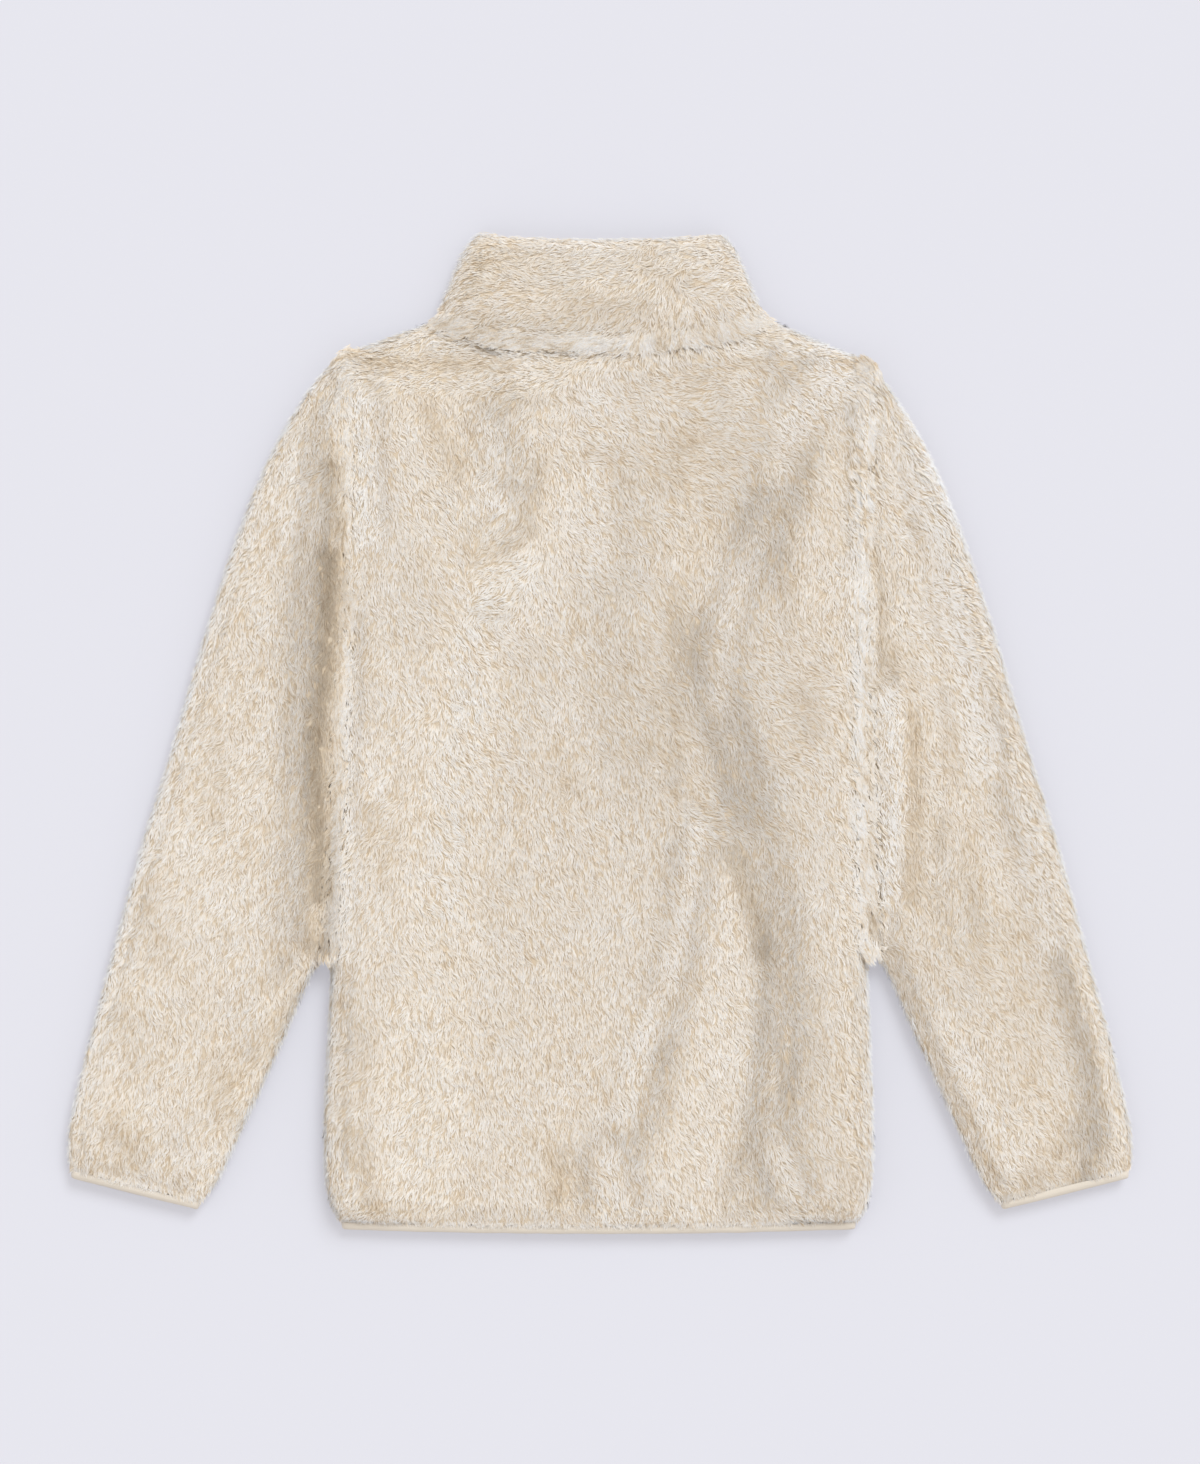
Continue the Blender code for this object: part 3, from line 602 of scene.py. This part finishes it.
def partings(points, rng):
    """Short thin lines where the pile parts, drawn in plan: gives their depth at any place."""
    starts = points[rng.choice(len(points), 4800)]
    starts = starts[waves(starts, 0.03, 8) > rng.normal(size=len(starts))]
    for x, y, reach, number in SPOTS:
        spot = rng.normal(size=(number, 3)) * reach + np.array([[x, y, 0.0]])
        starts = np.concatenate([starts, spot])
    angle = combed(starts) + 0.35 * rng.normal(size=len(starts))
    bend = rng.normal(size=len(starts)) * 60.0
    length = rng.uniform(0.005, 0.015, len(starts))
    depth = rng.uniform(0.4, 1.0, len(starts))
    cell, radius = 0.0004, 0.0005
    corner = np.array([-0.35, -0.33])
    drawn = np.zeros((1750, 1650))
    for step in np.linspace(-0.5, 0.5, 32):
        offset = heading(angle + bend * length * step)[:, :2] * column(length * step)
        place = starts[:, :2] + offset
        strength = depth * (1.0 - (2.0 * step) ** 2)
        base = ((place - corner) / cell).astype(int)
        for i in range(-2, 3):
            for j in range(-2, 3):
                middle = corner + (base + np.array([i, j]) + 0.5) * cell
                away = ((middle - place) ** 2).sum(1) / radius ** 2
                spot = (base[:, 0] + i, base[:, 1] + j)
                np.maximum.at(drawn, spot, strength * np.exp(-away))
    return lambda places: drawn[tuple(((places[:, :2] - corner) / cell).astype(int).T)]


def fringe(mesh, spacing, rng):
    """Locks over the upper edge of a binding: their points, normals and combing."""
    rows = []
    for edge in mesh.edges:
        ends = [vert.co for vert in edge.verts]
        if not edge.is_boundary or ends[0].y > LOWEST_SEAM or ends[0].z < MIDDLE + 0.0015:
            continue
        away = (ends[0] + ends[1]) / 2 - edge.link_faces[0].calc_center_median()
        side = (ends[1] - ends[0]).normalized()
        away -= side * away.dot(side)
        away.z = 0.0
        away.normalize()
        count = max(1, round((ends[1] - ends[0]).length / spacing))
        for share in (np.arange(count) + 0.5) / count:
            rows.append((*ends[0].lerp(ends[1], share), *away))
    rows = np.array(rows).reshape(-1, 6)
    points, away = rows[:, :3], rows[:, 3:]
    points = points - away * rng.uniform(-0.0005, 0.0018, (len(points), 1))
    over = 0.8 * away + 0.6 * heading(combed(points))
    normals = unit(np.array([[0.0, 0.0, 1.0]]) + 0.25 * away)
    return points, normals, np.arctan2(over[:, 0], -over[:, 1])


def steepness(points, normals):
    """How near the floor each point is, how far it looks under the collar, and how steep it is."""
    outer = clamp((0.0165 - points[:, 2]) / 0.003)
    under = clamp((0.6 - normals[:, 2]) / 0.3) * (points[:, 1] > SHOULDERS)
    return outer, under, np.maximum(outer * clamp((0.85 - normals[:, 2]) / 0.5), under)


def stroke_light_and_tone(points, normals, rng):
    """How far the strokes turn each lock's shading towards the light, and its tone: random, with
    painted shade under dark strokes and painted light under bright ones.
    """
    stroke_light = stroke_light_and_shade(points) * clamp(2.0 * normals[:, 2])
    tone = 0.69 + 0.02 * waves(points, 0.020, 7) + 0.025 * rng.normal(size=len(points))
    # Painted shade and light: the colour is darker under dark strokes and lighter under bright
    # ones.
    tone += 0.34 * np.minimum(stroke_light, 0.0) + 0.20 * np.maximum(stroke_light, 0.0)
    return np.clip(stroke_light, -0.6, 0.5) + np.minimum(stroke_light + 1.1, 0.0), tone


def shaded_normals(normals, facing, nap, outer, under, stroke_light, settings):
    """Which way each strand is shaded as facing."""
    shading = normals + settings.relief * (facing - normals) - settings.nap * nap
    broad = clamp((normals[:, 2] - 0.93) / 0.05)
    shading[:, :2] += column(settings.modelling * broad) * normals[:, :2]
    level = column(0.9 * np.maximum(outer * clamp((0.97 - normals[:, 2]) / 0.3), under))
    shading = unit(shading) * (1.0 - level) + level * np.array([[0.0, 0.0, 1.0]])
    towards = column(np.maximum(stroke_light, 0.0))
    shading = shading * (1.0 - towards) + towards * unit(np.array([(*BRIGHT, KEY[2])]))
    shading[:, :2] += column(np.minimum(stroke_light, 0.0)) * np.array([BRIGHT])
    veer = math.atan2(KEY[1], KEY[0]) - math.atan2(BRIGHT[1], BRIGHT[0])
    x, y = shading[:, 0].copy(), shading[:, 1].copy()
    shading[:, 0] = math.cos(veer) * x - math.sin(veer) * y
    shading[:, 1] = math.sin(veer) * x + math.cos(veer) * y
    return unit(shading)


def locks(points, normals, angle, parted, settings, rng):
    """Strands of pile in locks, their tips on the surface given: points, UV places, normals."""
    count, strands = len(points), settings.strands

    def spread(values):
        """Gives each strand the value of its lock."""
        return np.repeat(values, strands, axis=0)

    # Each lock as a whole.
    nap = heading(angle)
    angle = angle + 0.20 * waves(points, 0.008, 3) + 0.14 * rng.normal(size=count)
    flow = heading(angle + 0.12 * waves(points, 0.028, 4))
    along = flow - normals * (flow * normals).sum(1, keepdims=True)
    lean = np.linalg.norm(along, axis=1)
    along = unit(along)
    across = np.cross(normals, along)
    low = np.clip(normals[:, 2] + 0.4, 0.25, 1.0)
    outer, under, steep = steepness(points, normals)
    edge = clamp(1.0 - 1.5 * normals[:, 2])
    depth = settings.depth * low * (1 + 0.10 * rng.normal(size=count))
    length = settings.length * (0.35 + 0.65 * np.sqrt(low)) * lean * rng.uniform(0.8, 1.25, count)
    rise = 0.0001 * waves(points, 0.008, 5) + 0.0001 * rng.normal(size=count)
    curl = 0.0005 * rng.normal(size=count) + 0.0005 * waves(points, 0.014, 6)
    stroke_light, tone = stroke_light_and_tone(points, normals, rng)

    # Its strands, spread round its middle.
    total = count * strands
    turn = rng.uniform(0, 2 * math.pi, total)
    radius = settings.lock_width * np.sqrt(rng.uniform(0, 1, total))
    out_along, out_across = radius * np.cos(turn) * 1.3, radius * np.sin(turn)
    along, across, normals, nap = spread(along), spread(across), spread(normals), spread(nap)
    points, depth, curl, edge = spread(points), spread(depth), spread(curl), spread(edge)
    steep, outer, under, stroke_light = spread(steep), spread(outer), spread(under), spread(stroke_light)
    length = spread(length) * rng.uniform(0.7, 1.2, total)
    halfway = points + along * column(out_along - 0.35 * length) + across * column(out_across)
    level = normals[:, 2] > 0.2
    rise = spread(rise) + 0.00015 * rng.normal(size=total) - 0.0002 * parted(halfway) * level
    rise += 0.0030 * edge * rng.uniform(0.0, 1.0, total) ** 1.6
    tone = spread(tone) + 0.16 * np.clip(rng.normal(size=total), -2.5, 1.3)
    # Painted light: locks on the steep outer rolls and under the collar are made paler.
    tone = np.clip(tone + 0.2 * steep, 0.2, 0.93)
    wide = settings.strand_width * rng.uniform(0.7, 1.25, total) * (1.0 - 0.35 * edge)

    # On steep places the strands are rolled so that their fronts look up.
    roll = rng.uniform(-0.35, 0.35, total)
    sideways = clamp((0.7 - normals[:, 2]) / 0.7) * (normals[:, 2] > -0.45)
    roll -= sideways * np.sign(across[:, 2]) * rng.uniform(0.45, 1.25, total)
    fray = 0.0008 * rng.normal(size=total)
    flat = column(np.cos(roll)) * across + column(np.sin(roll)) * normals
    facing = column(np.cos(roll)) * normals - column(np.sin(roll)) * across
    shading = shaded_normals(normals, facing, nap, outer, under, stroke_light, settings)

    # Root, two sides and tip of each strand.
    rows, places = [], []
    for share, width in ((0.0, 0.0), (0.4, 1.0), (1.0, 0.0)):
        together = 1.0 - settings.gather * share
        centre = points + normals * column(rise * share - depth * (1 - share) ** 1.9)
        centre = centre + along * column(length * (share ** 1.1 - 0.75) + out_along * together)
        centre = centre + across * column(out_across * together + (curl + fray) * share ** 2)
        for sign in (-1.0, 1.0) if width else (0.0,):
            place = centre + flat * column(sign * 0.5 * width * wide)
            place[:, 2] = np.maximum(place[:, 2], OFF_FLOOR)
            rows.append(place)
            # Painted shade: the colour is darker along the partings. Painted light: on steep
            # places the colour moves from the root's painted shade towards the tip's pale colour.
            # One side of each strand is a little lighter than the other.
            shade = np.clip(tone + 0.012 * sign - 1.1 * parted(place) * level, 0.02, 0.99)
            places.append(np.stack([shade, share + (1 - share) * 0.75 * steep], axis=1))
    return np.stack(rows, axis=1), np.stack(places, axis=1), np.repeat(shading, 4, axis=0)


def pile_mesh(name, corners, places, shading):
    """One joined mesh of strands, each a kite of two triangles, with its UV map."""
    count = len(corners)
    pattern = np.array([0, 1, 2, 1, 3, 2])
    loops = (np.arange(count)[:, None] * 4 + pattern[None, :]).ravel()
    data = bpy.data.meshes.new(name)
    data.vertices.add(count * 4)
    data.vertices.foreach_set("co", corners.astype(np.float32).ravel())
    data.loops.add(len(loops))
    data.loops.foreach_set("vertex_index", loops.astype(np.int32))
    data.polygons.add(count * 2)
    data.polygons.foreach_set("loop_start", np.arange(0, len(loops), 3, dtype=np.int32))
    data.update(calc_edges=True)
    layer = data.uv_layers.new(name="OFBake")
    layer.data.foreach_set("uv", places.reshape(-1, 2)[loops].astype(np.float32).ravel())
    data.shade_smooth()
    data.normals_split_custom_set_from_vertices(shading.tolist())
    return data


# ---------------------------------------------------------------- settings


class PulloverSettings(bpy.types.PropertyGroup):
    """Sizes and colours of the pullover."""

    cloth_depth: bpy.props.FloatProperty(
        name="Cloth Depth", description="How far the knit lies under the tips of the pile",
        default=0.0010, min=0.0005, max=0.009, unit="LENGTH", precision=4,
    )
    cloth_thickness: bpy.props.FloatProperty(
        name="Cloth Thickness", description="Thickness of the knit without its pile",
        default=0.0014, min=0.0008, max=0.003, unit="LENGTH", precision=4,
    )
    depth: bpy.props.FloatProperty(
        name="Pile Depth", description="How far the pile reaches down to its roots",
        default=0.0012, min=0.0005, max=0.009, unit="LENGTH", precision=4,
    )
    length: bpy.props.FloatProperty(
        name="Lock Length", description="How far a lock lies along the surface",
        default=0.0050, min=0.003, max=0.015, unit="LENGTH", precision=4,
    )
    spacing: bpy.props.FloatProperty(
        name="Lock Spacing", description="Least distance between two locks",
        default=0.0025, min=0.0015, max=0.01, unit="LENGTH", precision=4,
    )
    lock_width: bpy.props.FloatProperty(
        name="Lock Radius", description="Radius of a lock at its roots",
        default=0.0021, min=0.0005, max=0.005, unit="LENGTH", precision=4,
    )
    strand_width: bpy.props.FloatProperty(
        name="Strand Width", description="Width of one bundle of hairs",
        default=0.00055, min=0.0002, max=0.003, unit="LENGTH", precision=5,
    )
    strands: bpy.props.IntProperty(
        name="Strands", description="Bundles of hairs in each lock", default=14, min=1, max=20,
    )
    gather: bpy.props.FloatProperty(
        name="Gather", description="How far the tips of a lock draw together",
        default=0.25, min=0.0, max=1.0, subtype="FACTOR",
    )
    relief: bpy.props.FloatProperty(
        name="Strand Relief", description="How much each bundle is shaded as a form of its own",
        default=0.9, min=0.0, max=3.0, subtype="FACTOR",
    )
    nap: bpy.props.FloatProperty(
        name="Nap", description="How much the surface is shaded as facing against the comb",
        default=0.35, min=0.0, max=1.0, subtype="FACTOR",
    )
    modelling: bpy.props.FloatProperty(
        name="Modelling", description="How much more the broad slopes are shaded than they lean",
        default=2.4, min=0.0, max=3.0, subtype="FACTOR",
    )
    tip_colour: bpy.props.FloatVectorProperty(
        name="Tip Colour", description="Colour of the pile at its tips",
        default=(0.915, 0.935, 0.975), size=3, subtype="COLOR", min=0.0, max=1.0,
    )
    # Painted shade: the pile is darker and warmer towards its roots, deep in the pile.
    root_painted_shade: bpy.props.FloatVectorProperty(
        name="Root Colour", description="Colour of the pile at its roots",
        default=(0.80, 0.70, 0.55), size=3, subtype="COLOR", min=0.0, max=1.0,
    )
    # Tint that darker locks take on: locks darker by random tone, and painted shade where dark
    # strokes lie.
    shade_tint: bpy.props.FloatVectorProperty(
        name="Shade Tint", description="What the darkest locks are tinted with",
        default=(0.89, 0.79, 0.65), size=3, subtype="COLOR", min=0.0, max=1.0,
    )
    # Painted shade: colour of the pile along its partings and under the darkest strokes, and of
    # the knit between locks.
    parting_painted_shade: bpy.props.FloatVectorProperty(
        name="Parting Tint", description="What the pile is tinted with where it parts",
        default=(0.66, 0.53, 0.38), size=3, subtype="COLOR", min=0.0, max=1.0,
    )
    # The knit's own colour, set darker and warmer than the pile's tips so that it stands as
    # painted shade in the gaps between locks.
    cloth_colour: bpy.props.FloatVectorProperty(
        name="Cloth Colour", description="Palest colour of the knit under the pile",
        default=(0.75, 0.67, 0.55), size=3, subtype="COLOR", min=0.0, max=1.0,
    )
    binding_colour: bpy.props.FloatVectorProperty(
        name="Binding Colour", description="Colour of the knit binding",
        default=(0.72, 0.66, 0.58), size=3, subtype="COLOR", min=0.0, max=1.0,
    )
    binding_shade: bpy.props.FloatVectorProperty(
        name="Binding Shade", description="Darker colour of the knit binding",
        default=(0.67, 0.61, 0.53), size=3, subtype="COLOR", min=0.0, max=1.0,
    )


class StudioSettings(bpy.types.PropertyGroup):
    """Floor, light and camera of the studio."""

    floor_colour: bpy.props.FloatVectorProperty(
        name="Floor Colour", description="Colour the floor glows with",
        default=(0.85, 0.865, 0.975), size=3, subtype="COLOR", min=0.0, max=1.0,
    )
    floor_glow: bpy.props.FloatProperty(
        name="Floor Glow", description="How strongly the floor glows",
        default=0.352, min=0.0, max=1.0, precision=3,
    )
    key_colour: bpy.props.FloatVectorProperty(
        name="Key Colour", description="Colour of the key light",
        default=(0.963, 1.01, 1.046), size=3, subtype="COLOR", min=0.0, max=2.0,
    )
    key_strength: bpy.props.FloatProperty(
        name="Key Strength", description="Strength of the key light",
        default=1.52, min=0.0, max=10.0,
    )
    key_softness: bpy.props.FloatProperty(
        name="Key Softness", description="Angle the key light seems to span",
        default=0.5, min=0.0, max=3.1, subtype="ANGLE",
    )
    surround_colour: bpy.props.FloatVectorProperty(
        name="Surround Colour", description="Colour of the light from all round",
        default=(1.0, 0.96, 0.915), size=3, subtype="COLOR", min=0.0, max=1.0,
    )
    surround_strength: bpy.props.FloatProperty(
        name="Surround Strength", description="Strength of the light from all round",
        default=0.855, min=0.0, max=10.0, precision=3,
    )
    camera_height: bpy.props.FloatProperty(
        name="Camera Height", description="Height of the camera over the garment",
        default=2.4, min=0.5, max=10.0, unit="LENGTH",
    )
    shown_height: bpy.props.FloatProperty(
        name="Shown Height", description="How much of the floor is shown from top to bottom",
        default=0.915, min=0.3, max=3.0, unit="LENGTH",
    )


# ---------------------------------------------------------------- operators


class PULLOVER_OT_cloth(bpy.types.Operator):
    """Knit of the five fleece pieces, as a thin shell in the form of its solid"""

    bl_idname = "pullover.cloth"
    bl_label = "Knit Cloth"

    def execute(self, context):
        settings = context.scene.pullover
        material = made("fleece_knit", cloth_material, settings)
        for node in FLAT:
            mesh = outside(node, 1)
            for vert in mesh.verts:
                share = min(1.0, max(0.0, vert.normal.z / 0.8))
                vert.co -= vert.normal * (0.0005 + (settings.cloth_depth - 0.0005) * share)
            piece = add_piece("cloth_" + node, mesh, material)
            wall = piece.modifiers.new("wall", "SOLIDIFY")
            wall.thickness = settings.cloth_thickness
            wall.offset = -1.0
            shell = piece.evaluated_get(context.evaluated_depsgraph_get())
            piece.data = bpy.data.meshes.new_from_object(shell)
            piece.modifiers.clear()
            for vert in piece.data.vertices:
                vert.co.z = max(vert.co.z, OFF_FLOOR)
            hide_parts(node)
        return {"FINISHED"}


class PULLOVER_OT_pile(bpy.types.Operator):
    """Sherpa pile of the five fleece pieces, combed and in locks"""

    bl_idname = "pullover.pile"
    bl_label = "Sherpa Pile"

    def execute(self, context):
        settings = context.scene.pullover
        material = made("sherpa_pile", pile_material, settings)
        low, high = HEM_TO_NECK
        rng = np.random.default_rng(100)
        rows = []
        for number, node in enumerate(BANDS):
            mesh = outside(node)
            edges = fringe(mesh, 0.0012, rng)
            points, normals = scatter(mesh, settings.spacing, rng)
            mesh.free()
            shown = (normals[:, 2] > -0.75) | (points[:, 2] > 0.0025)
            points, normals = points[shown], normals[shown]
            row = zip((points, normals, combed(points)), edges)
            row = [np.concatenate(pair) for pair in row]
            rows.append((*row, np.full(len(row[0]), number)))
        points, normals, angle, owner = (np.concatenate(values) for values in zip(*rows))
        known = len(points)
        points, normals, owner = laid_over(points, normals, owner, rng)
        angle = np.concatenate([angle, combed(points[known:])])
        parted = partings(points, rng)
        for number, (node, count) in enumerate(BANDS.items()):
            order = np.clip((points[:, 1] - low) / (high - low) * count, 0, count - 1).astype(int)
            for band in range(count):
                chosen = (owner == number) & (order == band)
                corners, places, shading = locks(
                    points[chosen], normals[chosen], angle[chosen], parted, settings, rng
                )
                name = f"pile_{node}" if count == 1 else f"pile_{node}_{band + 1}"
                data = pile_mesh(name, corners, places, shading)
                add_data(name, data, material, False)
        return {"FINISHED"}


class PULLOVER_OT_bindings(bpy.types.Operator):
    """Knit bindings round the hem and the cuffs, wrapped over the edge of the fleece"""

    bl_idname = "pullover.bindings"
    bl_label = "Bindings"

    def execute(self, context):
        settings = context.scene.pullover
        material = made("binding_knit", binding_material, settings)
        for node, flat in STRIPS.items():
            mesh = solid_copy(node)
            bmesh.ops.subdivide_edges(mesh, edges=mesh.edges, cuts=2, use_grid_fill=True)
            mesh.normal_update()
            places = np.array([vert.co for vert in mesh.verts])
            pucker = 0.00010 * waves(places, 0.005, 21) + 0.00008 * waves(places, 0.012, 22)
            for vert, push in zip(mesh.verts, pucker.tolist()):
                vert.co += vert.normal * push
            piece = add_piece("knit_" + node, mesh, material)
            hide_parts(node)
        return {"FINISHED"}


class PULLOVER_OT_stage(bpy.types.Operator):
    """Floor, lights and camera of the studio"""

    bl_idname = "pullover.stage"
    bl_label = "Studio"

    def execute(self, context):
        settings = context.scene.pullover_studio
        mesh = bmesh.new()
        bmesh.ops.create_grid(mesh, x_segments=1, y_segments=1, size=6.0)
        bmesh.ops.translate(mesh, verts=mesh.verts, vec=(0.0, 0.0, -0.0004))
        data = bpy.data.meshes.new("floor")
        mesh.to_mesh(data)
        mesh.free()
        data.materials.append(made("studio_floor", floor_material, settings))
        floor = bpy.data.objects.new("floor", data)
        context.scene.collection.objects.link(floor)

        lamp = bpy.data.lights.new("key", "SUN")
        lamp.angle = settings.key_softness
        lamp.energy = settings.key_strength
        lamp.color = settings.key_colour
        key = bpy.data.objects.new("key", lamp)
        key.location = KEY
        key.rotation_euler = (-Vector(KEY)).to_track_quat("-Z", "Y").to_euler()
        context.scene.collection.objects.link(key)

        world = bpy.data.worlds.new("studio")
        world.use_nodes = True
        surround = world.node_tree.nodes["Background"]
        surround.inputs["Color"].default_value = (*settings.surround_colour, 1.0)
        surround.inputs["Strength"].default_value = settings.surround_strength
        context.scene.world = world
        context.scene.view_settings.view_transform = "Standard"

        lens = bpy.data.cameras.new("camera")
        lens.sensor_fit = "VERTICAL"
        lens.sensor_height = 24.0
        lens.lens = lens.sensor_height * settings.camera_height / settings.shown_height
        camera = bpy.data.objects.new("camera", lens)
        camera.location = (0.0, 0.00125, settings.camera_height + 0.009)
        context.scene.collection.objects.link(camera)
        context.scene.camera = camera
        return {"FINISHED"}


class PULLOVER_PT_panel(bpy.types.Panel):
    """Lists the pieces of the pullover and their settings"""

    bl_idname = "PULLOVER_PT_panel"
    bl_label = "Sherpa Pullover"
    bl_space_type = "VIEW_3D"
    bl_region_type = "UI"
    bl_category = "Pullover"

    def draw(self, context):
        for operator in OPERATORS:
            self.layout.operator(operator.bl_idname)
        for settings in (context.scene.pullover, context.scene.pullover_studio):
            for name in type(settings).__annotations__:
                self.layout.prop(settings, name)


OPERATORS = (PULLOVER_OT_cloth, PULLOVER_OT_pile, PULLOVER_OT_bindings, PULLOVER_OT_stage)
CLASSES = (PulloverSettings, StudioSettings, *OPERATORS, PULLOVER_PT_panel)


def register():
    for cls in CLASSES:
        bpy.utils.register_class(cls)
    bpy.types.Scene.pullover = bpy.props.PointerProperty(type=PulloverSettings)
    bpy.types.Scene.pullover_studio = bpy.props.PointerProperty(type=StudioSettings)


def unregister():
    del bpy.types.Scene.pullover_studio
    del bpy.types.Scene.pullover
    for cls in reversed(CLASSES):
        bpy.utils.unregister_class(cls)


def main():
    register()
    bpy.ops.pullover.cloth()
    bpy.ops.pullover.pile()
    bpy.ops.pullover.bindings()
    bpy.ops.pullover.stage()


if __name__ == "__main__":
    main()
